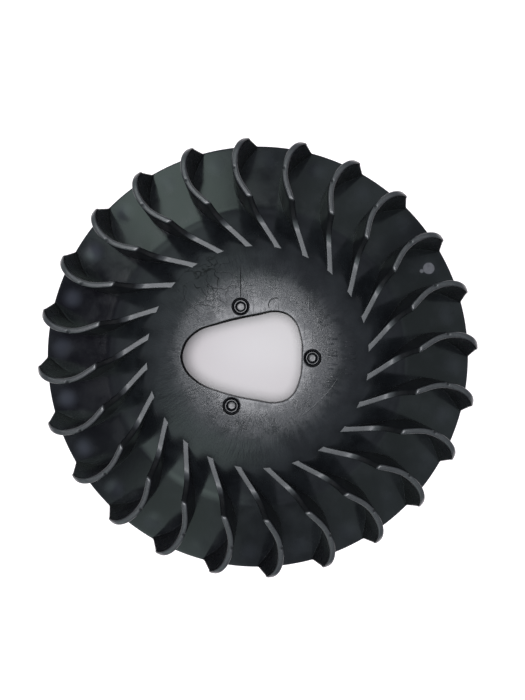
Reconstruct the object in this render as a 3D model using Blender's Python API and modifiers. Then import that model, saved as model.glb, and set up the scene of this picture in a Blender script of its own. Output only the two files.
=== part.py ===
"""Moulded cooling fan that bolts to the flywheel of a small single-cylinder engine.

Metres, +Z up.  The origin is on the fan's axis, in the plane of the rim's lower edge, and +Z points
away from the engine, towards the blades.  Angles are counter-clockwise from +X, seen from above.
The fan is one moulding: each of its features is a solid of its own, a joint gap from the next.
"""
import math

import bmesh
import bpy

MM = 0.001

# Driving dimensions.
RIM_RADIUS = 105.0 * MM
WALL = 2.6 * MM                  # thickness of the flange
HUB_WALL = 4.5 * MM              # thickness of the hub
SKIRT_WALL = 2.5 * MM            # thickness of the lip that hangs from the rim
FLANGE_HEIGHT = 6.0 * MM         # top of the flat outer flange
HUB_HEIGHT = 22.0 * MM           # top of the flat hub
HUB_RADIUS = 38.0 * MM           # where the hub starts to slope down
FLANGE_INNER_RADIUS = 76.0 * MM  # where the slope meets the flange
CORE_RADIUS = 6.0 * MM           # start of the turned section, inside the shaft opening
RIM_ROUNDING = 0.8 * MM

BLADE_COUNT = 24
FIRST_BLADE_ANGLE = math.radians(3.55)
BLADE_WALL = 2.5 * MM
LOW_TOP = 16.5 * MM              # top of a blade's low inner stretch
HIGH_TOP = 34.0 * MM             # top of its tall outer stretch
STEP_FOOT_RADIUS = 62.5 * MM     # where the low top starts to rise
STEP_HEAD_RADIUS = 72.4 * MM     # where the tall top starts
STEP_POWER = 3                   # the rise between them is flat at its foot and steep at its head
CORNER_START_RADIUS = 96.0 * MM  # where the tall top starts to round over
CORNER_END_RADIUS = 99.9 * MM    # end of the rounding, on the leaning outer edge
CORNER_DROP = 4.0 * MM
BLADE_END_RADIUS = 104.4 * MM

PEG_PLACES = ((25.7 * MM, -0.4 * MM), (-8.1 * MM, 23.9 * MM), (-12.4 * MM, -22.9 * MM))
PEG_WELL_RADIUS = 4.2 * MM
PEG_TUBE_RADIUS = 3.4 * MM
PEG_BORE_RADIUS = 2.5 * MM
PEG_TOP_RECESS = 0.4 * MM        # how far the tube's rim lies below the hub's face
PEG_MOAT_DEPTH = 1.6 * MM        # depth of the ring-shaped groove round a peg's tube
PEG_REACH = 6.5 * MM             # how far a peg stands out behind the hub
PEG_BORE_DEPTH = 3.2 * MM        # depth of the blind bore in front
PEG_CHAMFER = 0.8 * MM

# The shaft opening, a rounded triangle with one long lobe: points that its smooth edge passes through.
OPENING_EDGE = (
    (20.9 * MM, -0.2 * MM),
    (20.0 * MM, 11.2 * MM),
    (16.0 * MM, 18.9 * MM),
    (10.0 * MM, 21.7 * MM),
    (0.0 * MM, 20.5 * MM),
    (-19.1 * MM, 16.1 * MM),
    (-30.2 * MM, 11.6 * MM),
    (-35.8 * MM, 3.6 * MM),
    (-35.6 * MM, -3.5 * MM),
    (-29.4 * MM, -11.2 * MM),
    (-18.5 * MM, -16.1 * MM),
    (0.0 * MM, -20.4 * MM),
    (9.5 * MM, -21.3 * MM),
    (15.4 * MM, -18.8 * MM),
    (19.5 * MM, -11.5 * MM),
)
OPENING_DETAIL = 4               # facets between two of those points

# Centre line of a blade in plan: distance from the axis, and degrees ahead of the blade's own angle.
BLADE_LINE = (
    (50.0 * MM, -17.0),
    (58.0 * MM, -10.05),
    (66.5 * MM, -4.15),
    (74.0 * MM, 0.0),
    (80.8 * MM, 2.6),
    (86.5 * MM, 3.25),
    (92.1 * MM, 2.75),
    (96.6 * MM, 1.4),
    (100.5 * MM, -0.55),
    (107.0 * MM, -4.2),
)
BLADE_LINE_START = 51.0 * MM

GAP = 0.3 * MM                   # clearance between neighbouring solids

# How finely curves are drawn.
TURN_STEPS = 96                  # facets round the disc, a multiple of the blade count
SLOPE_POINTS = 10                # rings of the disc between hub and flange
ROUNDING_POINTS = 4              # points of the rim's rounding
BLADE_STATIONS = 19              # points along a blade's centre line
STEP_POINTS = 9                  # points up a blade's step
CORNER_POINTS = 5                # points of a blade's outer corner
PEG_STEPS = 24                   # facets round a peg
MERGE = 0.01 * MM                # closer points than this are one
SHARP_ANGLE = math.radians(35.0)

# Grey level and roughness of each black plastic.
DISC_PLASTIC = (0.018, 0.42)
BLADE_PLASTIC = (0.02, 0.38)
PEG_PLASTIC = (0.025, 0.35)


def smooth_step(t):
    """0 below t = 0, 1 above t = 1, and an S-curve between."""
    t = min(max(t, 0.0), 1.0)
    return t * t * (3.0 - 2.0 * t)


def disc_rise(radius):
    """How far the disc has risen from flange (0) to hub (1) at a distance from the axis."""
    return smooth_step((FLANGE_INNER_RADIUS - radius) / (FLANGE_INNER_RADIUS - HUB_RADIUS))


def disc_top(radius):
    """Height of the disc's upper surface at a distance from the axis."""
    return FLANGE_HEIGHT + (HUB_HEIGHT - FLANGE_HEIGHT) * disc_rise(radius)


def disc_underside(radius):
    """Height of the disc's lower surface at a distance from the axis."""
    flange = FLANGE_HEIGHT - WALL
    return flange + (HUB_HEIGHT - HUB_WALL - flange) * disc_rise(radius)


def blade_top(radius):
    """Height of a blade's upper edge at a distance from the axis, down to the flange at its outer end."""
    step = (radius - STEP_FOOT_RADIUS) / (STEP_HEAD_RADIUS - STEP_FOOT_RADIUS)
    top = LOW_TOP + (HIGH_TOP - LOW_TOP) * min(max(step, 0.0), 1.0) ** STEP_POWER
    if radius <= CORNER_START_RADIUS:
        return top
    corner_width = CORNER_END_RADIUS - CORNER_START_RADIUS
    across = min((radius - CORNER_START_RADIUS) / corner_width, 1.0)
    top = HIGH_TOP - CORNER_DROP * (1.0 - math.sqrt(1.0 - across * across))
    lean = max(radius - CORNER_END_RADIUS, 0.0) / (BLADE_END_RADIUS - CORNER_END_RADIUS)
    return top - lean * (HIGH_TOP - CORNER_DROP - FLANGE_HEIGHT)


def blade_angle(radius):
    """Degrees that the centre line runs ahead of the blade's own angle, smoothly through BLADE_LINE."""
    last = len(BLADE_LINE) - 1
    k = 0
    while k < last - 1 and radius > BLADE_LINE[k + 1][0]:
        k += 1
    before, here = BLADE_LINE[max(k - 1, 0)], BLADE_LINE[k]
    there, after = BLADE_LINE[k + 1], BLADE_LINE[min(k + 2, last)]
    slope_here = (there[1] - before[1]) / (there[0] - before[0])
    slope_there = (after[1] - here[1]) / (after[0] - here[0])
    span = there[0] - here[0]
    t = (radius - here[0]) / span
    a = here[1] * (1.0 + 2.0 * t) * (1.0 - t) ** 2 + there[1] * t * t * (3.0 - 2.0 * t)
    b = slope_here * span * t * (1.0 - t) ** 2 - slope_there * span * t * t * (1.0 - t)
    return a + b


def plastic(name, shade, roughness):
    """Black moulded plastic."""
    material = bpy.data.materials.new(name)
    material.use_nodes = True
    shader = material.node_tree.nodes["Principled BSDF"]
    shader.inputs["Base Color"].default_value = (shade, shade, shade, 1.0)
    shader.inputs["Roughness"].default_value = roughness
    shader.inputs["Metallic"].default_value = 0.0
    return material


def add_object(name, mesh, collection, material=None):
    """Put a mesh in the scene under a name."""
    piece = bpy.data.objects.new(name, mesh)
    collection.objects.link(piece)
    if material:
        mesh.materials.append(material)
    return piece


def as_cutter(piece):
    """Keep a piece out of the finished model."""
    piece.hide_render = True
    piece.display_type = "WIRE"
    return piece


def turned(name, profile, collection, steps, material=None):
    """Turn a closed profile, listed clockwise as (radius, height), about the Z axis."""
    mesh = bpy.data.meshes.new(name)
    points = [(radius, 0.0, height) for radius, height in profile]
    edges = [(k, (k + 1) % len(points)) for k in range(len(points))]
    mesh.from_pydata(points, edges, [])
    piece = add_object(name, mesh, collection, material)
    screw = piece.modifiers.new("turn", "SCREW")
    screw.axis = "Z"
    screw.angle = math.tau
    screw.steps = steps
    screw.render_steps = steps
    screw.use_merge_vertices = True
    screw.merge_threshold = MERGE
    screw.use_smooth_shade = True
    return piece


def finished_mesh(piece):
    """The piece's mesh with its modifiers applied."""
    bpy.context.view_layer.update()
    graph = bpy.context.evaluated_depsgraph_get()
    return bpy.data.meshes.new_from_object(piece.evaluated_get(graph), depsgraph=graph)


def cut(piece, cutter):
    """Take a cutter away from a piece."""
    step = piece.modifiers.new("cut by " + cutter.name, "BOOLEAN")
    step.operation = "DIFFERENCE"
    step.solver = "EXACT"
    step.object = cutter


def spread(start, end, count):
    """Evenly spaced values from start to end, both included."""
    return [start + (end - start) * k / (count - 1) for k in range(count)]


def prism(name, edge_points, bottom, top, collection):
    """An upright cutter whose outline is a smooth closed curve through the given points."""
    curve = bpy.data.curves.new(name + "_outline", "CURVE")
    curve.dimensions = "2D"
    curve.fill_mode = "BOTH"
    curve.extrude = (top - bottom) / 2.0
    curve.resolution_u = OPENING_DETAIL
    spline = curve.splines.new("BEZIER")
    spline.bezier_points.add(len(edge_points) - 1)
    for point, (x, y) in zip(spline.bezier_points, edge_points):
        point.co = (x, y, 0.0)
        point.handle_left_type = "AUTO"
        point.handle_right_type = "AUTO"
    spline.use_cyclic_u = True
    drawn = bpy.data.objects.new(name + "_outline", curve)
    collection.objects.link(drawn)
    mesh = finished_mesh(drawn)
    bpy.data.objects.remove(drawn)
    welded = bmesh.new()
    welded.from_mesh(mesh)
    bmesh.ops.remove_doubles(welded, verts=welded.verts, dist=MERGE)
    bmesh.ops.recalc_face_normals(welded, faces=welded.faces)
    welded.to_mesh(mesh)
    welded.free()
    piece = add_object(name, mesh, collection)
    piece.location.z = (top + bottom) / 2.0
    return as_cutter(piece)


def disc_profile():
    """Section of the disc, clockwise from the inner edge of the hub's face."""
    slope = spread(HUB_RADIUS, FLANGE_INNER_RADIUS, SLOPE_POINTS)
    edge = RIM_RADIUS - RIM_ROUNDING
    top = [(CORE_RADIUS, HUB_HEIGHT)] + [(radius, disc_top(radius)) for radius in slope]
    rim = []
    for angle in spread(math.pi / 2.0, 0.0, ROUNDING_POINTS):
        rim.append((edge + RIM_ROUNDING * math.cos(angle),
                    FLANGE_HEIGHT - RIM_ROUNDING + RIM_ROUNDING * math.sin(angle)))
    skirt = RIM_RADIUS - SKIRT_WALL
    lip = [(RIM_RADIUS, 0.0), (skirt, 0.0), (skirt, FLANGE_HEIGHT - WALL)]
    underside = [(radius, disc_underside(radius)) for radius in reversed(slope)]
    return top + rim + lip + underside + [(CORE_RADIUS, HUB_HEIGHT - HUB_WALL)]


def make_disc(parts, cutters, material):
    """The dished disc: hub, slope, flange and rim lip, with the shaft opening and three peg wells."""
    disc = turned("fan_disc", disc_profile(), parts, TURN_STEPS, material)
    below, above = HUB_HEIGHT - 2.0 * HUB_WALL, HUB_HEIGHT + HUB_WALL
    cut(disc, prism("shaft_opening", OPENING_EDGE, below, above, cutters))
    for number, middle in enumerate(PEG_PLACES, start=1):
        bpy.ops.mesh.primitive_cylinder_add(vertices=PEG_STEPS, radius=PEG_WELL_RADIUS, depth=above - below,
                                            location=(*middle, (above + below) / 2.0))
        well = bpy.context.object
        well.name = f"peg_well_{number}"
        for owner in list(well.users_collection):
            owner.objects.unlink(well)
        cutters.objects.link(well)
        cut(disc, as_cutter(well))
    return disc


def make_pegs(parts, material):
    """Three pegs: a tube that stands in its well, a collar that fills it, and a solid end behind."""
    collar = PEG_WELL_RADIUS - GAP
    top = HUB_HEIGHT - PEG_TOP_RECESS
    groove = HUB_HEIGHT - PEG_MOAT_DEPTH
    seat = HUB_HEIGHT - HUB_WALL
    end = seat - PEG_REACH
    profile = (
        (0.0, top - PEG_BORE_DEPTH), (PEG_BORE_RADIUS, top - PEG_BORE_DEPTH), (PEG_BORE_RADIUS, top),
        (PEG_TUBE_RADIUS, top), (PEG_TUBE_RADIUS, groove), (collar, groove),
        (collar, seat), (PEG_TUBE_RADIUS, seat), (PEG_TUBE_RADIUS, end + PEG_CHAMFER),
        (PEG_TUBE_RADIUS - PEG_CHAMFER, end), (0.0, end),
    )
    first = turned("peg_shape", profile, parts, PEG_STEPS, material)
    mesh = finished_mesh(first)
    bpy.data.objects.remove(first)
    for number, middle in enumerate(PEG_PLACES, start=1):
        peg = add_object(f"locating_peg_{number}", mesh, parts)
        peg.location = (*middle, 0.0)


def blade_curtain():
    """The blade's middle surface: an upright curtain along its centre line, taller than the blade."""
    mesh = bpy.data.meshes.new("blade_curtain")
    form = bmesh.new()
    pairs = []
    for radius in spread(BLADE_LINE_START, BLADE_LINE[-1][0], BLADE_STATIONS):
        angle = FIRST_BLADE_ANGLE + math.radians(blade_angle(radius))
        x, y = radius * math.cos(angle), radius * math.sin(angle)
        pairs.append((form.verts.new((x, y, FLANGE_HEIGHT - WALL)), form.verts.new((x, y, HIGH_TOP + WALL))))
    for near, far in zip(pairs, pairs[1:]):
        form.faces.new((near[0], far[0], far[1], near[1]))
    form.to_mesh(mesh)
    form.free()
    return mesh


def disc_room(cutters):
    """Turned cutter that fills the space of the disc, and a joint gap above it."""
    radii = spread(HUB_RADIUS, FLANGE_INNER_RADIUS, SLOPE_POINTS)
    slope = [(radius, disc_top(radius) + GAP) for radius in radii]
    outside = RIM_RADIUS + 2.0 * WALL
    profile = slope + [(outside, FLANGE_HEIGHT + GAP), (outside, 0.0), (HUB_RADIUS, 0.0)]
    return as_cutter(turned("disc_room", profile, cutters, TURN_STEPS))


def air_room(cutters):
    """Turned cutter that fills the air over and outside the blades, and so shapes their upper edges."""
    radii = [HUB_RADIUS] + spread(STEP_FOOT_RADIUS, STEP_HEAD_RADIUS, STEP_POINTS)
    radii += spread(CORNER_START_RADIUS, CORNER_END_RADIUS, CORNER_POINTS) + [BLADE_END_RADIUS]
    edge = [(radius, blade_top(radius)) for radius in radii]
    sky = HIGH_TOP + 2.0 * WALL
    outside = RIM_RADIUS + 2.0 * WALL
    profile = [(HUB_RADIUS, sky), (outside, sky), (outside, FLANGE_HEIGHT)] + edge[::-1]
    return as_cutter(turned("air_room", profile, cutters, TURN_STEPS))


def make_blades(parts, cutters, material):
    """Blades, all of one shape: a curved sheet that stands on the disc, low inside and tall outside."""
    first = add_object("blade_shape", blade_curtain(), parts, material)
    thicken = first.modifiers.new("thickness", "SOLIDIFY")
    thicken.thickness = BLADE_WALL
    thicken.offset = 0.0
    thicken.use_even_offset = True
    cut(first, disc_room(cutters))
    cut(first, air_room(cutters))
    mesh = finished_mesh(first)
    mesh.shade_smooth()
    mesh.set_sharp_from_angle(angle=SHARP_ANGLE)
    bpy.data.objects.remove(first)
    for number in range(1, BLADE_COUNT + 1):
        blade = add_object(f"blade_{number:02d}", mesh, parts)
        blade.rotation_euler.z = math.tau * (number - 1) / BLADE_COUNT


def main():
    """Clear the scene and build the fan."""
    for old in list(bpy.data.objects):
        bpy.data.objects.remove(old)
    parts = bpy.data.collections.new("flywheel_fan")
    cutters = bpy.data.collections.new("cutters")
    for collection in (parts, cutters):
        bpy.context.scene.collection.children.link(collection)
    make_disc(parts, cutters, plastic("disc_plastic", *DISC_PLASTIC))
    make_pegs(parts, plastic("peg_plastic", *PEG_PLASTIC))
    make_blades(parts, cutters, plastic("blade_plastic", *BLADE_PLASTIC))


main()
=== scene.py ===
"""Looks of the moulded cooling fan: smooth meshes for its disc, blades and pegs, and its black plastic."""
import math

import bmesh
import bpy
import numpy as np
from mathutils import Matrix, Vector
from mathutils.geometry import delaunay_2d_cdt


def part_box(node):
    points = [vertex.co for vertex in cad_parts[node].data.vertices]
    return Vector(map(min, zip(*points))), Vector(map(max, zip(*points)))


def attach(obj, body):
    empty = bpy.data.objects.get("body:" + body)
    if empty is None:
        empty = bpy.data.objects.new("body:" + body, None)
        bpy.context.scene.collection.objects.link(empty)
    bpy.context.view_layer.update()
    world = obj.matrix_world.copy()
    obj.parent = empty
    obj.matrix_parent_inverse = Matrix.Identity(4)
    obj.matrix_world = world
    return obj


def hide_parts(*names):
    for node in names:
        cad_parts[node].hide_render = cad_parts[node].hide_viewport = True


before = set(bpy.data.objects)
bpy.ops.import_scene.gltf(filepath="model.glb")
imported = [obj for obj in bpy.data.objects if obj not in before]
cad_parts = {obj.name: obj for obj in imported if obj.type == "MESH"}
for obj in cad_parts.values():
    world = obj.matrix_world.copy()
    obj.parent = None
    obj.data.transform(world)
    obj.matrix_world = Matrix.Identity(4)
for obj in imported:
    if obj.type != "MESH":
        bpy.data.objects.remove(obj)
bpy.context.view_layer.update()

MM = 0.001
BODY = "root"

# Sizes read from the frame.
RIM_RADIUS, _, HUB_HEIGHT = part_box("fan_disc")[1]
HIGH_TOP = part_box("blade_01")[1].z
PEG_BOXES = [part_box(f"locating_peg_{number}") for number in (1, 2, 3)]
PEG_MIDDLES = [((low.x + high.x) / 2.0, (low.y + high.y) / 2.0) for low, high in PEG_BOXES]

# Sizes repeated from the CAD model.
WALL = 2.6 * MM
HUB_WALL = 4.5 * MM
SKIRT_WALL = 2.5 * MM
FLANGE_HEIGHT = 6.0 * MM
HUB_RADIUS = 38.0 * MM
FLANGE_INNER_RADIUS = 76.0 * MM
BLADE_COUNT = 24
FIRST_BLADE_ANGLE = math.radians(3.55)
LOW_TOP = 16.5 * MM
STEP_FOOT_RADIUS = 62.5 * MM     # where a blade's low top starts to rise
STEP_HEAD_RADIUS = 72.4 * MM     # where its tall top starts
STEP_POWER = 3                   # the rise between them is flat at its foot and steep at its head
BLADE_LINE = (            # radius, and degrees ahead of the blade's own angle
    (50.0 * MM, -17.0),
    (58.0 * MM, -10.05),
    (66.5 * MM, -4.15),
    (74.0 * MM, 0.0),
    (80.8 * MM, 2.6),
    (86.5 * MM, 3.25),
    (92.1 * MM, 2.75),
    (96.6 * MM, 1.4),
    (100.5 * MM, -0.55),
    (107.0 * MM, -4.2),
)
OPENING_EDGE = (          # points that the smooth edge of the shaft opening passes through
    (20.9 * MM, -0.2 * MM),
    (20.0 * MM, 11.2 * MM),
    (16.0 * MM, 18.9 * MM),
    (10.0 * MM, 21.7 * MM),
    (0.0 * MM, 20.5 * MM),
    (-19.1 * MM, 16.1 * MM),
    (-30.2 * MM, 11.6 * MM),
    (-35.8 * MM, 3.6 * MM),
    (-35.6 * MM, -3.5 * MM),
    (-29.4 * MM, -11.2 * MM),
    (-18.5 * MM, -16.1 * MM),
    (0.0 * MM, -20.4 * MM),
    (9.5 * MM, -21.3 * MM),
    (15.4 * MM, -18.8 * MM),
    (19.5 * MM, -11.5 * MM),
)
PEG_WELL_RADIUS = 4.2 * MM
PEG_TUBE_RADIUS = 3.4 * MM

# The pegs' fronts, finer than in the CAD model.
PEG_TOP_RADIUS = 3.1 * MM        # the peg narrows towards its top,
PEG_BORE_RADIUS = 2.4 * MM       # and its bore towards its floor
PEG_FLOOR_RADIUS = 1.6 * MM
PEG_TOP_RECESS = 0.35 * MM       # depths below the hub's middle
PEG_BORE_DEPTH = 3.2 * MM
PEG_MOAT_DEPTH = 3.4 * MM
PEG_ROUNDING = 0.25 * MM
PEG_OVERLAP = 0.1 * MM           # how far a peg's collar runs into the wall of its well,
PEG_PROUD = 0.05 * MM            # and how far it stands out below the hub
WELL_TURNS = 64                  # points round a peg or a well

# Fine shape that the CAD model leaves out.
LOW_ROUNDING = 0.35 * MM         # rounding along a blade's low top
HIGH_ROUNDING = 0.8 * MM         # and along its tall top
EDGE_SOFTNESS = 0.8 * MM         # rounding of the bends of that top, seen from the side
ROOT_FILLET = 0.05 * MM
ROOT_SINK = 0.3 * MM             # how far a blade's root reaches into the disc,
ROOT_SPREAD = 0.2 * MM           # and how far it spreads there
HALF_WALL = 1.3 * MM             # half a blade's thickness along its top
DRAFT = 0.4 / 28.0               # how fast a blade thickens towards its root
CORNER_START_RADIUS = 94.2 * MM  # a blade's outer corner, rounder than in the CAD model,
CORNER_END_RADIUS = 101.0 * MM
CORNER_DROP = 8.0 * MM
BLADE_END_RADIUS = 104.7 * MM    # and its outer end, slightly further out
NICK_RADIUS = 85.8 * MM          # a small dent in every blade's top
NICK_OFFSET = 0.85 * MM
NICK_DEPTH = 0.6 * MM
NICK_SPREAD = 0.42 * MM
NICK_REACH = 1.6 * MM            # how far below the top the dent is felt
RIM_ROUNDING = 0.5 * MM
OPENING_ROUNDING = 0.3 * MM
WELL_ROUNDING = 0.12 * MM
DOME_START = 25.0 * MM           # the hub sinks a little between the first two radii,
DOME_END = 46.0 * MM             # and the slope makes up for it by the third
DOME_FADE = 56.0 * MM
DOME_DROP = 0.85 * MM
HUB_SOFTNESS = 8.0 * MM          # reach over which the bend at the hub's edge is smoothed
CONE_RISE = 0.9 * MM             # how much higher the flange is inside than at the rim
OPENING_TAPER = 0.15 * MM        # how much narrower the shaft opening is below
OPENING_LEAN = 0.6 * MM          # and how much more on the side where its wall leans inwards
OPENING_LEAN_SIDE = math.radians(128.0)
HANDLE_RATIO = 2.5614            # neighbour distance over handle length of the opening's curve
OPENING_DETAIL = 24              # points of that curve between two of OPENING_EDGE
BLADE_START_RADIUS = 53.3 * MM
BLADE_COLUMNS = 118              # cross-sections along a blade
EDGE_STEP = 0.05 * MM            # spacing of the blade's edge before its sections are picked
BEND_DETAIL = 0.004              # how much closer they are where the edge bends,
NICK_DETAIL = 2.2                # and how much closer at the dent
NICK_DETAIL_REACH = 1.2 * MM
TURNS = 576                      # points round the disc
SHEET_RINGS = 14                 # rings of points over the hub
WELL_GAP = 0.4 * MM              # distance of those points from the peg wells,
SHEET_GAP = 0.25 * MM            # and from the hub's edges
WELD = 0.002 * MM                # closer points than this are one

# Marks on the disc, in plan.
MARK_RADIUS = 97.0 * MM          # one shallow round mark in every gap between blades
MARK_ANGLE = FIRST_BLADE_ANGLE + math.radians(9.0)
MARK_SPREAD = 2.3 * MM
MARK_HEIGHT = 0.2 * MM
MARK_SEED = 5
TICK_PLACES = (          # plain raised ticks on one side of the hub, in two columns
    (35.0 * MM, 7.4 * MM), (35.0 * MM, 1.6 * MM), (35.0 * MM, -4.4 * MM), (35.0 * MM, -10.2 * MM),
    (44.0 * MM, 6.4 * MM), (44.0 * MM, 0.6 * MM), (44.0 * MM, -6.8 * MM),
)
TICK_STROKES = (          # start and end of each stroke, from the tick's middle
    ((-2.2 * MM, -1.1 * MM), (2.2 * MM, -1.1 * MM)),
    ((-0.4 * MM, 1.1 * MM), (2.2 * MM, 1.1 * MM)),
)
TICK_WIDTH = 0.9 * MM
TICK_HEIGHT = 0.18 * MM
FLOW_LINE = -8.1 * MM            # a fine upright line beside the second peg
FLOW_LINE_SPAN = (28.0 * MM, 47.0 * MM)
SCRATCH_MIDDLE = (-10.0 * MM, 20.0 * MM)     # one long scratch, part of a wide circle
SCRATCH_RADIUS = 56.4 * MM
SCRATCH_PLACE = (31.0 * MM, -20.0 * MM)
CUT_MIDDLE = (8.4 * MM, 24.6 * MM)           # and a short cut, part of a small one
CUT_RADIUS = 3.3 * MM
CUT_PLACE = (6.4 * MM, 26.6 * MM)
BRIGHT_MARK = (85.2 * MM, 44.0 * MM)
BRIGHT_MARK_TAIL = (81.6 * MM, 42.6 * MM)
VEIN_PLACE = (-24.0 * MM, 36.0 * MM)

# Where each look fades in or out, from the first distance to the second.
HUB_WEAR_FADE = (30.0 * MM, 52.0 * MM)
STREAKS_START = (20.0 * MM, 32.0 * MM)
STREAKS_END = (44.0 * MM, 58.0 * MM)
STREAKS_SIDE = (-30.0 * MM, 20.0 * MM)       # streaks are weaker towards +X
GLOSS_FADE = (54.0 * MM, 68.0 * MM)          # the slope is duller than the flange
SCRATCH_FADE = (9.0 * MM, 13.0 * MM)
CUT_FADE = (2.5 * MM, 4.0 * MM)
VEIN_FADE = (5.0 * MM, 22.0 * MM)
LINE_FADE = (0.08 * MM, 0.3 * MM)            # half widths of a fine line
FLOW_LINE_FADE = 9.0 * MM
BRIGHT_MARK_FADE = (2.7 * MM, 3.0 * MM)
BRIGHT_TAIL_FADE = (0.7 * MM, 1.2 * MM)
MARK_PATCH_FADE = (0.6 * MM, 7.0 * MM)
SHEEN_SIDE = (-40.0 * MM, -90.0 * MM)        # the painted sheen makes the marks lighter towards -X
OPENING_WALL_FADE = (37.0 * MM, 37.5 * MM)
WELL_WALL_FADE = (4.4 * MM, 4.8 * MM)
NICK_FADE = (0.3 * MM, 1.0 * MM)
TALL_TOP_FADE = (18.0 * MM, 28.0 * MM)

# Colours.
DISC_DARK = (0.007, 0.0078, 0.0092)
DISC_LIGHT = (0.012, 0.0135, 0.0155)
HUB_RUBBED = (0.034, 0.034, 0.038)
# light bloom on the round marks, with painted sheen
BLOOM_AND_SHEEN_SHADE = (0.14, 0.15, 0.19)
SCUFF_SHADE = (0.12, 0.12, 0.135)
GROOVE_SHADE = (0.004, 0.004, 0.004)
# painted shade on the walls of the shaft opening and the peg wells
PAINTED_WALL_SHADE = (0.002, 0.002, 0.002)
BLADE_DARK = (0.008, 0.008, 0.009)
BLADE_LIGHT = (0.012, 0.0125, 0.014)
# painted sheen on the blades' up-facing tops
BLADE_TOP_SHEEN = (0.066, 0.068, 0.072)
# painted shade in the small dent on every blade's top
NICK_PAINTED_SHADE = (0.006, 0.006, 0.006)
PEG_DARK = (0.008, 0.008, 0.009)
PEG_LIGHT = (0.018, 0.018, 0.02)
# matt walls and moat of a peg, painted dark as shade
PEG_DULL_AND_SHADED = (0.008, 0.008, 0.011)

# The studio.
SKY_LOW = 0.12                   # extra light near the horizon
SKY_MIDDLE = 0.34                # light from the sides,
SKY_HIGH = 0.15                  # and from overhead
SKY_COLOUR = (0.8, 0.87, 1.0)
PATCH_COLOUR = (0.78, 1.0, 0.9)
SKY_PATCHES = (           # degrees round and from straight above, reach in degrees, added brightness
    (120.0, 22.0, 11.0, 1.8),
    (244.0, 23.0, 9.0, 0.6),
    (290.0, 22.0, 10.0, 0.05),
    (315.0, 22.0, 12.0, 0.2),
    (60.0, 22.0, 10.0, 0.28),
    (0.0, 23.0, 14.0, 0.22),
    (180.0, 22.0, 14.0, -0.12),
    (125.0, 62.0, 34.0, 0.3),
    (236.0, 55.0, 28.0, 0.95),
    (246.0, 37.0, 14.0, 0.8),
    (122.0, 38.0, 14.0, 0.5),
    (172.0, 70.0, 28.0, 0.15),
)
PATCH_CORE = 0.4                 # share of a patch's reach that is fully lit
LAMP_PLACE = (-0.07, 0.03, 1.2)
LAMP_SIZE = 0.58
LAMP_POWER = 9.6
LAMP_COLOUR = (0.95, 0.955, 1.0)
FLOOR_SIZE = 6.0
FLOOR_HEIGHT = -0.2 * MM
FLOOR_COLOUR = (0.74, 0.69, 0.695)
FLOOR_GLOW = (1.0, 0.96, 0.97)
GLOW_UNDER_PAINTED_SHADE = 0.09                # painted shade: the floor glows less under the object, where it is seen through the shaft opening
GLOW_AROUND = 0.7
GLOW_START = 0.45                # share of the rim's radius where the glow starts to rise
CAMERA_HEIGHT = 272.0 * MM       # over the flange
CAMERA_PLACE = (-0.15 * MM, 5.8 * MM)
CAMERA_LENS = 28.05
CAMERA_SHIFT = (0.00714, -0.00714)


def share(value, start, end):
    """How far a value has come from start (0) to end (1)."""
    return np.clip((value - start) / (end - start), 0.0, 1.0)


def smooth_share(value, start, end):
    """The same, as an S-curve."""
    t = share(value, start, end)
    return t * t * (3.0 - 2.0 * t)


def disc_rise(radius):
    """How far the disc has risen from flange (0) to hub (1)."""
    return smooth_share(radius, FLANGE_INNER_RADIUS, HUB_RADIUS)


def soft_rise(radius):
    """The disc's rise with the bend at the hub's edge smoothed away, and unchanged further out."""
    reach = np.linspace(-HUB_SOFTNESS, HUB_SOFTNESS, 41)
    weights = np.cos(reach / HUB_SOFTNESS * math.pi / 2.0) ** 2
    spread = np.asarray(radius)[..., None] + reach
    soft = (disc_rise(spread) * weights).sum(axis=-1) / weights.sum()
    return soft + (disc_rise(radius) - soft) * smooth_share(radius, DOME_END, DOME_FADE)


def disc_top(radius):
    """Height of the disc's upper surface."""
    rise = soft_rise(radius)
    dome = DOME_DROP * smooth_share(radius, DOME_START, DOME_END) * smooth_share(radius, DOME_FADE, DOME_END)
    cone = CONE_RISE * share(radius, RIM_RADIUS, FLANGE_INNER_RADIUS)
    return FLANGE_HEIGHT + (HUB_HEIGHT - FLANGE_HEIGHT) * rise + cone * (1.0 - rise) - dome


def disc_underside(radius):
    """Height of the disc's lower surface."""
    flange = FLANGE_HEIGHT - WALL
    return flange + (HUB_HEIGHT - HUB_WALL - flange) * disc_rise(radius)


def blade_top(radius):
    """Height of a blade's upper edge, down to the flange at its outer end."""
    step = share(radius, STEP_FOOT_RADIUS, STEP_HEAD_RADIUS)
    top = LOW_TOP + (HIGH_TOP - LOW_TOP) * step ** STEP_POWER
    across = share(radius, CORNER_START_RADIUS, CORNER_END_RADIUS)
    lean = share(radius, CORNER_END_RADIUS, BLADE_END_RADIUS)
    drop = CORNER_DROP * (1.0 - np.sqrt(1.0 - across * across))
    return top - drop - lean * (HIGH_TOP - CORNER_DROP - FLANGE_HEIGHT)


def smooth_curve(knots, values, at):
    """A smooth curve through (knots, values), read at the given places."""
    slopes = np.empty(len(knots))
    slopes[1:-1] = (values[2:] - values[:-2]) / (knots[2:] - knots[:-2])
    slopes[0] = (values[1] - values[0]) / (knots[1] - knots[0])
    slopes[-1] = (values[-1] - values[-2]) / (knots[-1] - knots[-2])
    k = np.clip(np.searchsorted(knots, at) - 1, 0, len(knots) - 2)
    span = knots[k + 1] - knots[k]
    t = (at - knots[k]) / span
    ends = values[k] * (1 + 2 * t) * (1 - t) ** 2 + values[k + 1] * t * t * (3 - 2 * t)
    bends = span * t * (1 - t) * (slopes[k] * (1 - t) - slopes[k + 1] * t)
    return ends + bends


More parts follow.
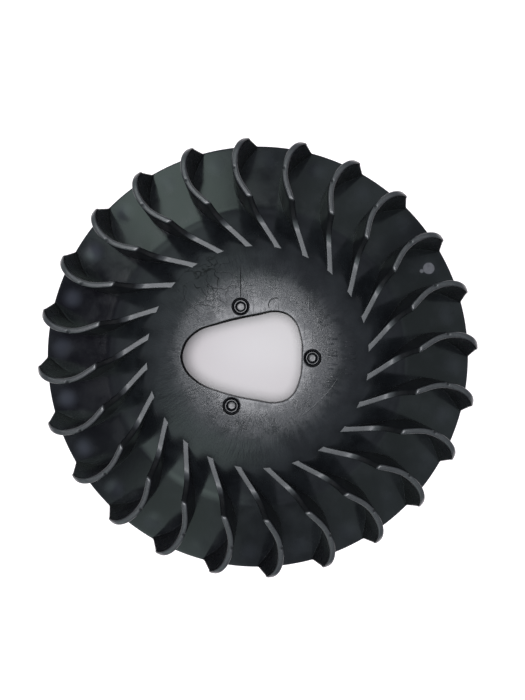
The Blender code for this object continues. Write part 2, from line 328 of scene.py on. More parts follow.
def place_piece(name, mesh, nodes, middle=(0.0, 0.0), turn=0.0):
    """Put a mesh in the scene as a piece that stands for the named CAD nodes."""
    piece = bpy.data.objects.new(name, mesh)
    bpy.context.scene.collection.objects.link(piece)
    piece.location = (*middle, 0.0)
    piece.rotation_euler.z = turn
    bpy.context.view_layer.update()
    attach(piece, BODY)
    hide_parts(*nodes)


def loop_faces(rows, columns):
    """Quads of a grid of rows whose columns wrap round."""
    faces = []
    for j in range(rows - 1):
        here, there = j * columns, (j + 1) * columns
        for i in range(columns):
            k = (i + 1) % columns
            faces.append((here + i, there + i, there + k, here + k))
    return faces


# ---------------------------------------------------------------- materials

class Nodes:
    """A short way to write the node tree of a material or a world."""

    def __init__(self, owner):
        owner.use_nodes = True
        self.owner = owner
        self.tree = owner.node_tree
        self.shader = self.tree.nodes.get("Principled BSDF")

    def add(self, kind, inputs=(), **settings):
        """A node with the given settings; inputs are values or outputs, by name or number."""
        node = self.tree.nodes.new(kind)
        for key, value in settings.items():
            setattr(node, key, value)
        for key, value in dict(inputs).items():
            self.feed(node.inputs[key], value)
        return node

    def feed(self, socket, value):
        """Set a socket, or link it to an output. A colour is given as red, green and blue."""
        if isinstance(value, bpy.types.NodeSocket):
            self.tree.links.new(value, socket)
        elif socket.type == "RGBA":
            socket.default_value = (*value, 1.0)
        else:
            socket.default_value = value

    def math(self, operation, a, b=0.0):
        """Output of a Math node."""
        return self.add("ShaderNodeMath", {0: a, 1: b}, operation=operation).outputs[0]

    def times(self, first, *others):
        """Product of two or more values."""
        for other in others:
            first = self.math("MULTIPLY", first, other)
        return first

    def vector(self, operation, a, b=(0.0, 0.0, 0.0)):
        """Outputs of a Vector Math node: a vector and a value."""
        return self.add("ShaderNodeVectorMath", {0: a, 1: b}, operation=operation).outputs

    def scaled(self, vector, scale):
        """A vector times a value."""
        return self.add("ShaderNodeVectorMath", {0: vector, "Scale": scale}, operation="SCALE").outputs[0]

    def length(self, vector):
        """Length of a vector."""
        return self.vector("LENGTH", vector)["Value"]

    def distance(self, place, middle):
        """Distance to a point in plan."""
        return self.vector("DISTANCE", place, (*middle, 0.0))["Value"]

    def reach(self, vector, course):
        """How far a vector goes in a direction."""
        return self.vector("DOT_PRODUCT", vector, course)["Value"]

    def split(self, vector):
        """X, Y and Z of a vector."""
        return list(self.add("ShaderNodeSeparateXYZ", {0: vector}).outputs)

    def join(self, x, y):
        """A vector in plan."""
        return self.add("ShaderNodeCombineXYZ", {0: x, 1: y}).outputs[0]

    def place(self):
        """Place on the object itself."""
        return self.add("ShaderNodeTexCoord").outputs["Object"]

    def facing(self):
        """1 where the surface faces up, 0 where it is upright, -1 where it faces down."""
        return self.split(self.add("ShaderNodeNewGeometry").outputs["Normal"])[2]

    def noise(self, place, scale, detail=2.0, roughness=0.5):
        """Output of a noise texture."""
        inputs = {"Vector": place, "Scale": scale, "Detail": detail, "Roughness": roughness}
        return self.add("ShaderNodeTexNoise", inputs).outputs["Fac"]

    def ramp(self, value, low, high, to_low=0.0, to_high=1.0):
        """A value range mapped smoothly onto another."""
        inputs = {"Value": value, "From Min": low, "From Max": high, "To Min": to_low, "To Max": to_high}
        ramp = self.add("ShaderNodeMapRange", inputs, interpolation_type="SMOOTHSTEP")
        return ramp.outputs["Result"]

    def fade(self, value, span):
        """1 below a span of values, 0 above it."""
        return self.ramp(value, *span, 1.0, 0.0)

    def spot(self, place, middle, span):
        """1 near a point in plan, 0 far from it."""
        return self.fade(self.distance(place, middle), span)

    def line(self, value, at):
        """1 where a distance has one value, 0 to either side."""
        return self.fade(self.math("ABSOLUTE", self.math("SUBTRACT", value, at)), LINE_FADE)

    def blend(self, factor, colour, other):
        """A colour between two."""
        return self.add("ShaderNodeMix", {0: factor, 6: colour, 7: other}, data_type="RGBA").outputs[2]

    def mix(self, factor, a, b):
        """A value between two."""
        return self.add("ShaderNodeMix", {0: factor, 2: a, 3: b}, data_type="FLOAT").outputs[0]

    def finish(self, colour, roughness, specular, bumps):
        """Set the shader's inputs, with stacked bumps given as (strength, distance, height)."""
        self.feed(self.shader.inputs["Base Color"], colour)
        self.feed(self.shader.inputs["Roughness"], roughness)
        self.feed(self.shader.inputs["Specular IOR Level"], specular)
        normal = None
        for strength, distance, height in bumps:
            bump = self.add("ShaderNodeBump", {"Strength": strength, "Distance": distance, "Height": height})
            if normal:
                self.feed(bump.inputs["Normal"], normal)
            normal = bump.outputs[0]
        self.feed(self.shader.inputs["Normal"], normal)
        return self.owner


def hub_lines(n, flat):
    """The fine line beside the second peg, and the short cut by the opening's edge."""
    x, y = n.split(flat)[:2]
    start, end = FLOW_LINE_SPAN
    flow_span = n.times(n.ramp(y, start, start + MM), n.fade(y, (end - FLOW_LINE_FADE, end)))
    flow_line = n.times(n.line(x, FLOW_LINE), flow_span)
    cut = n.times(n.line(n.distance(flat, CUT_MIDDLE), CUT_RADIUS), n.spot(flat, CUT_PLACE, CUT_FADE))
    return n.math("MAXIMUM", flow_line, cut)


def hub_veins(n, flat, patches):
    """Fine veins in one part of the hub, where the melt met."""
    drift = n.add("ShaderNodeTexNoise", {"Vector": flat, "Scale": 90.0, "Detail": 2.0}).outputs["Color"]
    drifted = n.vector("ADD", flat, drift)[0]
    warped = n.add("ShaderNodeMix", {0: 0.02, 4: flat, 5: drifted}, data_type="VECTOR").outputs[1]
    cells = n.add("ShaderNodeTexVoronoi", {"Vector": warped, "Scale": 130.0}, feature="DISTANCE_TO_EDGE")
    patchy = n.times(n.spot(flat, VEIN_PLACE, VEIN_FADE), n.ramp(patches, 0.38, 0.52))
    return n.times(n.ramp(cells.outputs["Distance"], 0.0, 0.06, 0.8, 0.0), patchy)


def scuffed_mark(n, flat, mottle):
    """The bright scuffed mark on the flange, with its tail."""
    bright = n.spot(flat, BRIGHT_MARK, BRIGHT_MARK_FADE)
    tail = n.spot(flat, BRIGHT_MARK_TAIL, BRIGHT_TAIL_FADE)
    return n.times(n.math("MAXIMUM", bright, tail), n.ramp(mottle, 0.3, 0.6, 0.6, 1.0))


def mark_bloom_and_sheen(n, flat, radius, turn):
    """A soft light bloom on the round mould marks, with painted sheen that makes those towards -X lighter.
    """
    number = n.times(n.math("SUBTRACT", turn, MARK_ANGLE), BLADE_COUNT / math.tau)
    ahead = n.math("SUBTRACT", number, n.math("ROUND", number))
    sideways = n.times(ahead, MARK_RADIUS * math.tau / BLADE_COUNT)
    away = n.length(n.join(sideways, n.math("SUBTRACT", radius, MARK_RADIUS)))
    # Painted sheen: the marks are lighter towards -X.
    side = n.ramp(n.split(flat)[0], *SHEEN_SIDE, 0.06, 0.26)
    return n.times(n.fade(away, MARK_PATCH_FADE), side, n.ramp(n.noise(flat, 60.0, 1.0), 0.3, 0.6, 0.3, 1.0))


def matt_walls_with_painted_shade(n, flat, radius, facing):
    """The matt walls of the peg wells, and of the shaft opening, painted dark as shade, most of all on the
    side where the opening leans inwards.
    """
    upright = n.fade(n.math("ABSOLUTE", facing), (0.3, 0.75))
    lean_side = (math.cos(OPENING_LEAN_SIDE), math.sin(OPENING_LEAN_SIDE), 0.0)
    strength = n.ramp(n.reach(flat, lean_side), 0.0, 10.0 * MM, 0.35, 1.0)
    for middle in PEG_MIDDLES:
        strength = n.math("MAXIMUM", n.spot(flat, middle, WELL_WALL_FADE), strength)
    return n.times(upright, n.fade(radius, OPENING_WALL_FADE), strength)


def disc_plastic():
    """Glossy black plastic with a rubbed, scratched hub and faint round mould marks on the flange."""
    n = Nodes(bpy.data.materials.new("disc_plastic"))
    place = n.place()
    x, y = n.split(place)[:2]
    flat = n.join(x, y)
    radius = n.length(flat)
    turn = n.math("ARCTAN2", y, x)
    facing = n.facing()
    cloud = n.noise(place, 60.0, 4.0, 0.6)
    mottle = n.noise(place, 240.0, 3.0, 0.6)
    grain = n.noise(place, 800.0, 3.0, 0.7)
    fine = n.noise(place, 2400.0, 2.0, 0.5)
    patches = n.noise(flat, 95.0, 4.0, 0.65)
    streaks = n.noise(n.join(n.times(turn, 9.0), n.times(radius, 40.0)), 2.6, 4.0, 0.7)
    brushed = n.add("ShaderNodeMapping", {0: flat, 2: (0.0, 0.0, 0.7), 3: (900.0, 70.0, 1.0)}).outputs[0]
    scratches = n.ramp(n.noise(brushed, 1.0, 2.0, 0.6), 0.6, 0.72)

    # Wear and marks, which are on the upper side only, the round marks with painted sheen; then the walls,
    # with painted shade.
    above = n.ramp(facing, 0.0, 0.2)
    hub = n.times(above, n.fade(radius, HUB_WEAR_FADE))
    worn = n.ramp(n.mix(0.35, patches, streaks), 0.4, 0.6)
    rubbed = n.times(hub, n.ramp(worn, 0.0, 1.0, 0.3, 1.0))
    streaked = n.times(above, n.ramp(radius, *STREAKS_START), n.fade(radius, STREAKS_END),
                       n.ramp(x, *STREAKS_SIDE, 1.0, 0.55))
    long_scratch = n.times(above, n.line(n.distance(flat, SCRATCH_MIDDLE), SCRATCH_RADIUS),
                           n.spot(flat, SCRATCH_PLACE, SCRATCH_FADE))
    grooves = n.times(above, n.math("MAXIMUM", hub_lines(n, flat), hub_veins(n, flat, patches)))
    scuffed = n.times(above, scuffed_mark(n, flat, mottle))
    bloom_and_sheen = n.times(above, mark_bloom_and_sheen(n, flat, radius, turn))
    wall = matt_walls_with_painted_shade(n, flat, radius, facing)

    shade = n.blend(n.ramp(cloud, 0.38, 0.62), DISC_DARK, DISC_LIGHT)
    shade = n.blend(rubbed, shade, HUB_RUBBED)
    # light bloom on the round marks, with painted sheen towards -X
    shade = n.blend(bloom_and_sheen, shade, BLOOM_AND_SHEEN_SHADE)
    shade = n.blend(scuffed, shade, SCUFF_SHADE)
    shade = n.blend(grooves, shade, GROOVE_SHADE)
    # painted shade on the walls of the shaft opening and the peg wells
    shade = n.blend(wall, shade, PAINTED_WALL_SHADE)
    flange_rough = n.ramp(cloud, 0.35, 0.65, 0.1, 0.16)
    slope_rough = n.ramp(cloud, 0.35, 0.65, 0.28, 0.38)
    rough = n.mix(n.fade(radius, GLOSS_FADE), flange_rough, slope_rough)
    rough = n.mix(hub, rough, n.ramp(worn, 0.0, 1.0, 0.24, 0.38))
    rough = n.mix(scuffed, rough, 0.5)
    rough = n.mix(wall, rough, 0.8)
    dull = n.math("MAXIMUM", wall, n.times(grooves, 0.8))
    return n.finish(shade, rough, n.mix(dull, 0.5, 0.03), [
        (0.15, 0.05 * MM, fine),
        (n.mix(hub, 0.12, 0.4), 0.12 * MM, mottle),
        (n.times(hub, 0.8), 0.08 * MM, grain),
        (n.times(hub, 0.35), 0.08 * MM, scratches),
        (0.6, -0.12 * MM, grooves),
        (0.6, 0.12 * MM, long_scratch),
        (streaked, 0.36 * MM, streaks),
    ])


def blade_plastic():
    """Satin black plastic, with painted sheen that makes the blades' up-facing tops lighter."""
    n = Nodes(bpy.data.materials.new("blade_plastic"))
    place = n.place()
    x, y, height = n.split(place)
    facing = n.facing()
    cloud = n.noise(place, 70.0, 3.0, 0.6)
    mottle = n.noise(place, 500.0, 3.0, 0.6)
    fine = n.noise(place, 2400.0, 2.0, 0.5)
    top = n.times(n.ramp(facing, 0.45, 0.95), n.ramp(mottle, 0.3, 0.65, 0.6, 1.0))
    tall = n.ramp(height, *TALL_TOP_FADE)
    nick_x, nick_y = on_blade(np.array([NICK_RADIUS]), np.array([NICK_OFFSET]))
    nick = n.times(n.spot(n.join(x, y), (nick_x[0], nick_y[0]), NICK_FADE), top)

    shade = n.blend(n.ramp(cloud, 0.38, 0.62), BLADE_DARK, BLADE_LIGHT)
    # Painted sheen: the up-facing tops are lighter, less so on the tall tops.
    shade = n.blend(n.times(top, n.mix(tall, 1.0, 0.62)), shade, BLADE_TOP_SHEEN)
    # Painted shade in the small dent on every blade's top, which is also given a duller gloss.
    shade = n.blend(nick, shade, NICK_PAINTED_SHADE)
    rough = n.mix(top, n.ramp(cloud, 0.35, 0.65, 0.24, 0.32), n.mix(tall, 0.42, 0.27))
    specular = n.mix(nick, n.ramp(facing, 0.1, 0.6, 0.3, 0.5), 0.15)
    return n.finish(shade, rough, specular, [
        (n.ramp(facing, 0.2, 0.8, 0.0, 0.12), 0.05 * MM, fine),
        (n.ramp(facing, 0.2, 0.8, 0.0, 0.3), 0.1 * MM, mottle),
    ])


def peg_plastic():
    """Satin black plastic with slightly polished rings; its steep walls and moat are matt and painted dark
    as shade.
    """
    n = Nodes(bpy.data.materials.new("peg_plastic"))
    place = n.place()
    x, y = n.split(place)[:2]
    mottle = n.noise(place, 500.0, 3.0, 0.6)
    fine = n.noise(place, 3000.0, 2.0, 0.5)
    steep = n.fade(n.math("ABSOLUTE", n.facing()), (0.5, 0.85))
    outside = n.ramp(n.length(n.join(x, y)), PEG_TOP_RADIUS, PEG_TOP_RADIUS + 0.2 * MM)
    dull = n.math("MAXIMUM", steep, outside)
    shade = n.blend(n.ramp(mottle, 0.35, 0.65), PEG_DARK, PEG_LIGHT)
    # Painted shade: the steep walls and the moat are darker, as well as matt.
    shade = n.blend(dull, shade, PEG_DULL_AND_SHADED)
    rough = n.mix(dull, n.ramp(mottle, 0.35, 0.65, 0.22, 0.34), 0.6)
    return n.finish(shade, rough, n.mix(dull, 0.5, 0.22), [(0.2, 0.05 * MM, fine)])


# ---------------------------------------------------------------- disc

def opening_radius(angles):
    """Distance from the axis to the edge of the shaft opening, at each angle."""
    points = np.array(OPENING_EDGE)
    before, after = np.roll(points, 1, axis=0), np.roll(points, -1, axis=0)
    reach_back = np.linalg.norm(points - before, axis=1, keepdims=True)
    reach_on = np.linalg.norm(after - points, axis=1, keepdims=True)
    course = (points - before) / reach_back + (after - points) / reach_on
    course /= np.linalg.norm(course, axis=1, keepdims=True) * HANDLE_RATIO
    on = points + course * reach_on
    back = np.roll(points - course * reach_back, -1, axis=0)
    t = np.linspace(0.0, 1.0, OPENING_DETAIL, endpoint=False)[:, None, None]
    curve = points * (1 - t) ** 3 + on * 3 * t * (1 - t) ** 2
    curve = curve + back * 3 * t * t * (1 - t) + after * t ** 3
    curve = curve.transpose(1, 0, 2).reshape(-1, 2)
    turn = np.arctan2(curve[:, 1], curve[:, 0])
    return np.interp(angles, turn, np.hypot(curve[:, 0], curve[:, 1]), period=math.tau)


def arc(centre, size, start, end, count):
    """Points (radius, height) of an arc about a centre, from one angle to another in degrees."""
    turns = np.radians(np.linspace(start, end, count))
    return [(centre[0] + size * math.cos(a), centre[1] + size * math.sin(a)) for a in turns]


def ring(radii, angles, height, middle=(0.0, 0.0)):
    """Points round a middle; radii and height are one for all angles, or one for each."""
    reach = np.broadcast_to(radii, angles.shape)
    level = np.broadcast_to(height, angles.shape)
    x = middle[0] + reach * np.cos(angles)
    y = middle[1] + reach * np.sin(angles)
    return np.stack([x, y, level], 1)


class Skin:
    """Vertices and faces gathered into one mesh."""

    def __init__(self):
        self.vertices = []
        self.faces = []

    def add(self, vertices, faces):
        """Add faces that are numbered within their own vertices."""
        first = len(self.vertices)
        self.vertices.extend(tuple(v) for v in vertices)
        self.faces.extend(tuple(first + k for k in face) for face in faces)

    def add_rings(self, rings):
        """Join rings of equally many points, one to the next."""
        self.add(np.concatenate(rings), loop_faces(len(rings), len(rings[0])))

    def mesh(self, name, smooth_angle):
        """The gathered skin as one welded, outward-facing, smooth mesh."""
        mesh = bpy.data.meshes.new(name)
        mesh.from_pydata(self.vertices, [], self.faces)
        work = bmesh.new()
        work.from_mesh(mesh)
        bmesh.ops.remove_doubles(work, verts=work.verts, dist=WELD)
        bmesh.ops.recalc_face_normals(work, faces=work.faces)
        work.to_mesh(mesh)
        work.free()
        mesh.shade_smooth()
        mesh.set_sharp_from_angle(angle=math.radians(smooth_angle))
        return mesh


def hub_sheet(inner, angles, well_radius):
    """Flat layout of the hub between opening and slope, with a round hole for every peg."""
    wells = np.arange(WELL_TURNS) * math.tau / WELL_TURNS
    loops = [ring(inner, angles, 0.0), ring(HUB_RADIUS, angles, 0.0)]
    loops += [ring(well_radius, wells, 0.0, middle) for middle in PEG_MIDDLES]
    loose = [ring(well_radius + WELL_GAP, wells, 0.0, middle) for middle in PEG_MIDDLES]
    loose += [ring(inner + out * (HUB_RADIUS - inner), angles, 0.0)
              for out in np.linspace(0.0, 1.0, SHEET_RINGS)[1:-1]]
    loose = np.concatenate(loose)
    turn, reach = np.arctan2(loose[:, 1], loose[:, 0]), np.hypot(loose[:, 0], loose[:, 1])
    edge = np.interp(turn, angles, inner, period=math.tau)
    keep = (reach > edge + SHEET_GAP) & (reach < HUB_RADIUS - SHEET_GAP)
    for middle in PEG_MIDDLES:
        away = np.hypot(loose[:, 0] - middle[0], loose[:, 1] - middle[1])
        keep &= away > well_radius + WELL_GAP - 0.01 * MM
    points = np.concatenate(loops + [loose[keep]])[:, :2]
    edges, first = [], 0
    for loop in loops:
        count = len(loop)
        edges += [(first + k, first + (k + 1) % count) for k in range(count)]
        first += count

    # Output type 0 gives triangles over the holes too, and those are left out.
    flat, _, faces = delaunay_2d_cdt([Vector(p) for p in points], edges, [], 0, 1e-7)[:3]
    flat = np.array([tuple(p) for p in flat])
    centres = np.array([flat[list(face)].mean(axis=0) for face in faces])
    turn, reach = np.arctan2(centres[:, 1], centres[:, 0]), np.hypot(centres[:, 0], centres[:, 1])
    solid = reach > np.interp(turn, angles, inner, period=math.tau)
    solid &= reach < HUB_RADIUS
    for middle in PEG_MIDDLES:
        solid &= np.hypot(centres[:, 0] - middle[0], centres[:, 1] - middle[1]) > well_radius
    return flat, [tuple(face) for face, kept in zip(faces, solid) if kept]


def mould_marks(radius, angles, height):
    """How far the shallow round marks raise or sink the flange's upper face."""
    chance = np.random.default_rng(MARK_SEED).uniform(-1.0, 1.0, BLADE_COUNT)
    gaps = (angles - MARK_ANGLE) * BLADE_COUNT / math.tau
    number = np.round(gaps)
    across = (gaps - number) * MARK_RADIUS * math.tau / BLADE_COUNT
    fade = np.exp(-(across ** 2 + (radius - MARK_RADIUS) ** 2) / (2.0 * MARK_SPREAD ** 2))
    upper_face = FLANGE_HEIGHT - RIM_ROUNDING <= height and radius < RIM_RADIUS - 2 * RIM_ROUNDING
    return -MARK_HEIGHT * chance[number.astype(int) % BLADE_COUNT] * fade * upper_face


def add_stroke(skin, start, end):
    """A raised stroke, rounded across and at its ends, that follows the hub's surface."""
    along = (end - start) / np.linalg.norm(end - start)
    across = np.array((-along[1], along[0]))
    half = TICK_WIDTH / 2.0
    turns = np.radians((180.0, 135.0, 90.0, 45.0, 0.0))
    sections = []
    tip = along * half
    for middle, size in ((start - tip, 0.3), (start, 1.0), (end, 1.0), (end + tip, 0.3)):
        places = middle + np.outer(np.cos(turns) * half * size, across)
        places = np.vstack([places, middle])
        lifts = np.append(np.sin(turns) * size - 0.1, -0.5) * TICK_HEIGHT
        ground = disc_top(np.hypot(places[:, 0], places[:, 1]))
        sections.append(np.column_stack([places, ground + lifts]))
    skin.add_rings(sections)
    for section in (sections[0], sections[-1]):
        skin.add(section, [tuple(range(len(section)))])


def add_ticks(skin):
    """Plain raised ticks, two strokes each, turned about in turn."""
    for number, place in enumerate(np.array(TICK_PLACES)):
        flip = 1.0 if number % 2 else -1.0
        for start, end in np.array(TICK_STROKES):
            add_stroke(skin, place + flip * start, place + flip * end)


def make_disc():
    """The disc as one closed skin: over the top, down the rim, back underneath, and down its holes."""
    angles = np.arange(TURNS) * math.tau / TURNS - math.pi
    inner = opening_radius(angles)
    skin = Skin()

    # From the hub's edge over the slope, flange and rim, and back underneath.
    r, rim, skirt = RIM_ROUNDING, RIM_RADIUS, RIM_RADIUS - SKIRT_WALL
    ceiling = FLANGE_HEIGHT - WALL
    slope = np.linspace(HUB_RADIUS, FLANGE_INNER_RADIUS, 40)
    flange = np.linspace(FLANGE_INNER_RADIUS, rim - 2 * r, 30)
    turned = [(radius, float(disc_top(radius))) for radius in (*slope, *flange[1:])]
    turned += arc((rim - r, FLANGE_HEIGHT - r), r, 90, 0, 6)
    turned += [(rim, FLANGE_HEIGHT / 2.0)] + arc((rim - r, r), r, 0, -90, 5)
    turned += arc((skirt + r, r), r, -90, -180, 5) + arc((skirt - r, ceiling - r), r, 0, 90, 5)
    turned += [(radius, ceiling) for radius in np.linspace(skirt - 2 * r, FLANGE_INNER_RADIUS, 10)]
    turned += [(radius, float(disc_underside(radius)))
               for radius in np.linspace(FLANGE_INNER_RADIUS, HUB_RADIUS, 26)[1:]]
    skin.add_rings([ring(radius, angles, height + mould_marks(radius, angles, height))
                    for radius, height in turned])

    # The hub's two faces.
    low = HUB_HEIGHT - HUB_WALL
    flat, faces = hub_sheet(inner + OPENING_ROUNDING, angles, PEG_WELL_RADIUS + WELL_ROUNDING)
    top = disc_top(np.hypot(flat[:, 0], flat[:, 1]))
    skin.add(np.column_stack([flat, top]), faces)
    skin.add(np.column_stack([flat, np.full(len(flat), low)]), faces)

    # The walls of the shaft opening, slightly narrower below.
    r = OPENING_ROUNDING
    edge_top = disc_top(inner + r)
    walls = [ring(inner + out, angles, edge_top - r + up) for out, up in arc((r, 0.0), r, 90, 180, 5)]
    lean = OPENING_LEAN * np.clip(np.cos(angles - OPENING_LEAN_SIDE), 0.0, 1.0)
    below = inner - OPENING_TAPER - lean
    walls += [ring(below + out, angles, low + r + up) for out, up in arc((r, 0.0), r, 180, 270, 5)]
    walls += [ring(inner + r, angles, low)]
    skin.add_rings(walls)

    # The walls of the peg wells.
    r = WELL_ROUNDING
    wells = np.arange(WELL_TURNS) * math.tau / WELL_TURNS
    for middle in PEG_MIDDLES:
        lip = ring(PEG_WELL_RADIUS + r, wells, 0.0, middle)
        lip_height = disc_top(np.hypot(lip[:, 0], lip[:, 1]))
        walls = [ring(PEG_WELL_RADIUS + out, wells, lip_height - r + up, middle)
                 for out, up in arc((r, 0.0), r, 90, 180, 4)]
        walls += [ring(PEG_WELL_RADIUS + out, wells, low + r + up, middle)
                  for out, up in arc((r, 0.0), r, 180, 270, 4)]
        skin.add_rings(walls)

    add_ticks(skin)
    mesh = skin.mesh("disc_skin", 50.0)
    mesh.materials.append(DISC_PLASTIC)
    place_piece("disc_skin", mesh, ["fan_disc"])


# ---------------------------------------------------------------- pegs

def make_pegs():
    """Each peg: a ring in a round-bottomed moat, a tapered blind bore, and an end behind the hub."""
    top = HUB_HEIGHT - PEG_TOP_RECESS
    moat = HUB_HEIGHT - PEG_MOAT_DEPTH
    seat = HUB_HEIGHT - HUB_WALL
    end = PEG_BOXES[0][0].z
    floor = HUB_HEIGHT - PEG_BORE_DEPTH
    out = PEG_WELL_RADIUS + PEG_OVERLAP
    half = (out - PEG_TUBE_RADIUS) / 2.0
    r = PEG_ROUNDING
    profile = [(0.0, floor), (PEG_FLOOR_RADIUS / 2.0, floor)]
    profile += arc((PEG_FLOOR_RADIUS, floor + r), r, -90, -10, 4)
    profile += arc((PEG_BORE_RADIUS + r, top - r), r, 170, 90, 5)
    profile += arc((PEG_TOP_RADIUS - r, top - r), r, 90, 15, 5)
    profile += arc((PEG_TUBE_RADIUS + half, moat + half), half, 180, 360, 9)
    profile += [(out, seat - PEG_PROUD)]
    profile += arc((PEG_TUBE_RADIUS + r, seat - r), r, 90, 180, 4)
    profile += arc((PEG_TUBE_RADIUS - 2 * r, end + 2 * r), 2 * r, 0, -90, 5) + [(0.0, end)]
    turns = np.arange(WELL_TURNS) * math.tau / WELL_TURNS
    skin = Skin()
    skin.add_rings([ring(radius, turns, height) for radius, height in profile])
    mesh = skin.mesh("peg_skin", 40.0)
    mesh.materials.append(PEG_PLASTIC)
    for number, middle in enumerate(PEG_MIDDLES, start=1):
        place_piece(f"peg_skin_{number}", mesh, [f"locating_peg_{number}"], middle)


# ---------------------------------------------------------------- blades

def on_blade(radius, offset):
    """Points in plan, by distance from the axis and distance to the left of a blade's centre line."""
    dense = np.linspace(BLADE_LINE[0][0] - 1 * MM, BLADE_LINE[-1][0] + 2 * MM, 1600)
    knots = np.array(BLADE_LINE)
    angle = FIRST_BLADE_ANGLE + np.radians(smooth_curve(knots[:, 0], knots[:, 1], dense))
    x, y = dense * np.cos(angle), dense * np.sin(angle)
    along_x, along_y = np.gradient(x), np.gradient(y)
    length = np.hypot(along_x, along_y)
    left_x, left_y = -along_y / length, along_x / length
    place = np.array(radius, float)
    for _ in range(12):
        px = np.interp(place, dense, x) + offset * np.interp(place, dense, left_x)
        py = np.interp(place, dense, y) + offset * np.interp(place, dense, left_y)
        place = place + (radius - np.hypot(px, py))
    return px, py


def blade_section(radius, top, inward):
    """Half a cross-section of a blade, as (radius, height, offset) from the middle of its top down."""
    ground = min(float(disc_top(radius)), top)
    height = top - ground
    step = float(smooth_share(radius, STEP_FOOT_RADIUS, STEP_HEAD_RADIUS))
    curl = min(LOW_ROUNDING + (HIGH_ROUNDING - LOW_ROUNDING) * step, 0.4 * height)
    fillet = min(ROOT_FILLET, 0.5 * height)
    points = [(radius, top, part * (HALF_WALL - curl)) for part in (0.0, 0.35, 0.7)]
    quarter = np.radians(np.linspace(0.0, 90.0, 6))
    for a in quarter:
        inset = curl * (1.0 - math.cos(a))
        out = HALF_WALL - curl + curl * math.sin(a)
        points.append((radius + inset * inward[0], top + inset * inward[1], out))
    shoulder = np.array(points[-1])
    foot = np.array((radius, ground + fillet, HALF_WALL + DRAFT * (height - fillet)))
    points += [tuple(shoulder + part * (foot - shoulder)) for part in np.linspace(0.0, 1.0, 7)[1:]]
    for a in quarter[1:]:
        out = foot[2] + fillet * (1.0 - math.cos(a))
        points.append((radius, ground + fillet * (1.0 - math.sin(a)), out))
    points.append((radius, ground - ROOT_SINK, foot[2] + fillet + ROOT_SPREAD))
    return points


def blade_edge():
    """Points (radius, height) along a blade's upper edge, with its bends rounded, and the way in at each."""
    radii = np.arange(BLADE_START_RADIUS, BLADE_END_RADIUS, 0.02 * MM)
    edge = np.stack([radii, blade_top(radii)], 1)
    run = np.concatenate([[0.0], np.cumsum(np.linalg.norm(np.diff(edge, axis=0), axis=1))])
    even = np.arange(0.0, run[-1], EDGE_STEP)
    edge = np.stack([np.interp(even, run, edge[:, k]) for k in (0, 1)], 1)
    reach = int(EDGE_SOFTNESS * 2 / EDGE_STEP)
    weights = np.hanning(2 * reach + 3)[1:-1]
    weights = weights / weights.sum()
    before, after = 2 * edge[:1] - edge[reach:0:-1], 2 * edge[-1:] - edge[-2:-2 - reach:-1]
    padded = np.concatenate([before, edge, after])
    edge = np.stack([np.convolve(padded[:, k], weights, "valid") for k in (0, 1)], 1)
    course = np.unwrap(np.arctan2(np.gradient(edge[:, 1]), np.gradient(edge[:, 0])))

    # Sections are closer together at bends and at the dent.
    bend = np.abs(np.gradient(course)) / EDGE_STEP
    nick = NICK_DETAIL * np.exp(-((edge[:, 0] - NICK_RADIUS) / NICK_DETAIL_REACH) ** 2)
    cost = np.cumsum(1.0 + BEND_DETAIL * bend + nick)
    picks = np.interp(np.linspace(cost[0], cost[-1], BLADE_COLUMNS), cost, np.arange(len(cost)))
    columns = np.stack([np.interp(picks, np.arange(len(edge)), edge[:, k]) for k in (0, 1)], 1)
    slope = np.interp(picks, np.arange(len(edge)), course)
    inward = np.stack([np.sin(slope), -np.cos(slope)], 1)
    return columns, inward


def blade_mesh():
    """One blade as a closed skin: rounded on top, slightly thicker at its root, and sunk into the disc."""
    columns, inward = blade_edge()
    half = np.array([blade_section(radius, top, aim) for (radius, top), aim in zip(columns, inward)])
    left, right = half[:, ::-1], half[:, 1:] * (1.0, 1.0, -1.0)
    whole = np.concatenate([left, right], axis=1)
    radius, height, offset = whole[..., 0], whole[..., 1], whole[..., 2]
    away = ((radius - NICK_RADIUS) ** 2 + (offset - NICK_OFFSET) ** 2) / (2.0 * NICK_SPREAD ** 2)
    near_top = smooth_share(height, HIGH_TOP - NICK_REACH, HIGH_TOP)
    height = height - NICK_DEPTH * np.exp(-away) * near_top
    x, y = on_blade(radius.ravel(), offset.ravel())
    count, around = radius.shape
    skin = Skin()
    skin.add(np.stack([x, y, height.ravel()], 1), loop_faces(count, around))
    skin.add(skin.vertices[:around], [tuple(range(around))])
    skin.add(skin.vertices[(count - 1) * around:count * around], [tuple(range(around))])
    return skin.mesh("blade_skin", 60.0)


def make_blades():
    """All blades share one mesh, each turned to its own place."""
    mesh = blade_mesh()
    mesh.materials.append(BLADE_PLASTIC)
    for number in range(1, BLADE_COUNT + 1):
        turn = math.tau * (number - 1) / BLADE_COUNT
        node = f"blade_{number:02d}"
        place_piece(f"blade_skin_{number:02d}", mesh, [node], turn=turn)


# ---------------------------------------------------------------- studio

def make_lamp():
    """A soft round light overhead that faces the middle of the object."""
    data = bpy.data.lights.new("overhead", "AREA")
    data.shape = "DISK"
    data.size = LAMP_SIZE
    data.energy = LAMP_POWER
    data.color = LAMP_COLOUR
    light = bpy.data.objects.new("overhead", data)
    bpy.context.scene.collection.objects.link(light)
    light.location = LAMP_PLACE
    light.rotation_euler = Vector(LAMP_PLACE).to_track_quat("Z", "Y").to_euler()


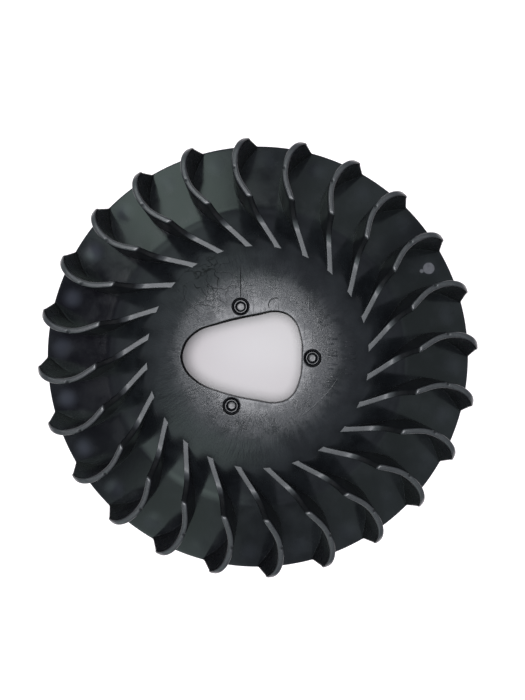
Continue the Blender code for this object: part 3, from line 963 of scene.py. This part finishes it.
def studio_sky():
    """Dim surroundings with soft patches, most of them bright."""
    n = Nodes(bpy.data.worlds.new("studio"))
    aim = n.add("ShaderNodeTexCoord").outputs["Generated"]
    height = n.split(aim)[2]         # 0 at the horizon, 1 straight above
    light = n.ramp(height, 0.85, 0.94, SKY_MIDDLE, SKY_HIGH)
    light = n.math("ADD", light, n.ramp(height, 0.1, 0.6, SKY_LOW, 0.0))
    light = n.times(light, n.ramp(n.noise(aim, 5.0, 1.0), 0.35, 0.65, 0.85, 1.15))
    patches = 0.0
    for around, above, size, strength in SKY_PATCHES:
        turn, tilt, size = math.radians(around), math.radians(above), math.radians(size)
        side = math.sin(tilt)
        middle = (side * math.cos(turn), side * math.sin(turn), math.cos(tilt))
        near = n.reach(aim, middle)
        patch = n.ramp(near, math.cos(size), math.cos(size * PATCH_CORE), 0.0, strength)
        patches = n.math("ADD", patch, patches)
    total = n.vector("ADD", n.scaled(SKY_COLOUR, light), n.scaled(PATCH_COLOUR, patches))[0]
    n.feed(n.tree.nodes["Background"].inputs["Color"], total)
    return n.owner


def make_floor():
    """A pale floor that glows a little, with painted shade under the object, where it glows less."""
    bpy.ops.mesh.primitive_plane_add(size=FLOOR_SIZE, location=(0.0, 0.0, FLOOR_HEIGHT))
    floor = bpy.context.object
    floor.name = "floor"
    n = Nodes(bpy.data.materials.new("pale_floor"))
    n.feed(n.shader.inputs["Base Color"], FLOOR_COLOUR)
    n.feed(n.shader.inputs["Roughness"], 0.9)
    n.feed(n.shader.inputs["Emission Color"], FLOOR_GLOW)
    away = n.length(n.place())
    # Painted shade under the object: the glow is weaker near the middle.
    glow_with_painted_shade = n.ramp(away, GLOW_START * RIM_RADIUS, RIM_RADIUS, GLOW_UNDER_PAINTED_SHADE, GLOW_AROUND)
    n.feed(n.shader.inputs["Emission Strength"], glow_with_painted_shade)
    floor.data.materials.append(n.owner)


def make_camera():
    """The camera, almost straight above the object as in the photograph."""
    camera = bpy.data.objects.new("camera", bpy.data.cameras.new("camera"))
    bpy.context.scene.collection.objects.link(camera)
    camera.data.lens = CAMERA_LENS
    camera.data.shift_x, camera.data.shift_y = CAMERA_SHIFT
    camera.data.clip_start = 0.01
    camera.location = (*CAMERA_PLACE, FLANGE_HEIGHT + CAMERA_HEIGHT)
    bpy.context.scene.camera = camera


def make_studio():
    """Pale floor, dim surroundings, soft overhead light and the camera."""
    make_floor()
    bpy.context.scene.world = studio_sky()
    make_lamp()
    make_camera()
    bpy.context.scene.view_settings.view_transform = "Standard"


DISC_PLASTIC = disc_plastic()
BLADE_PLASTIC = blade_plastic()
PEG_PLASTIC = peg_plastic()
make_disc()
make_pegs()
make_blades()
make_studio()
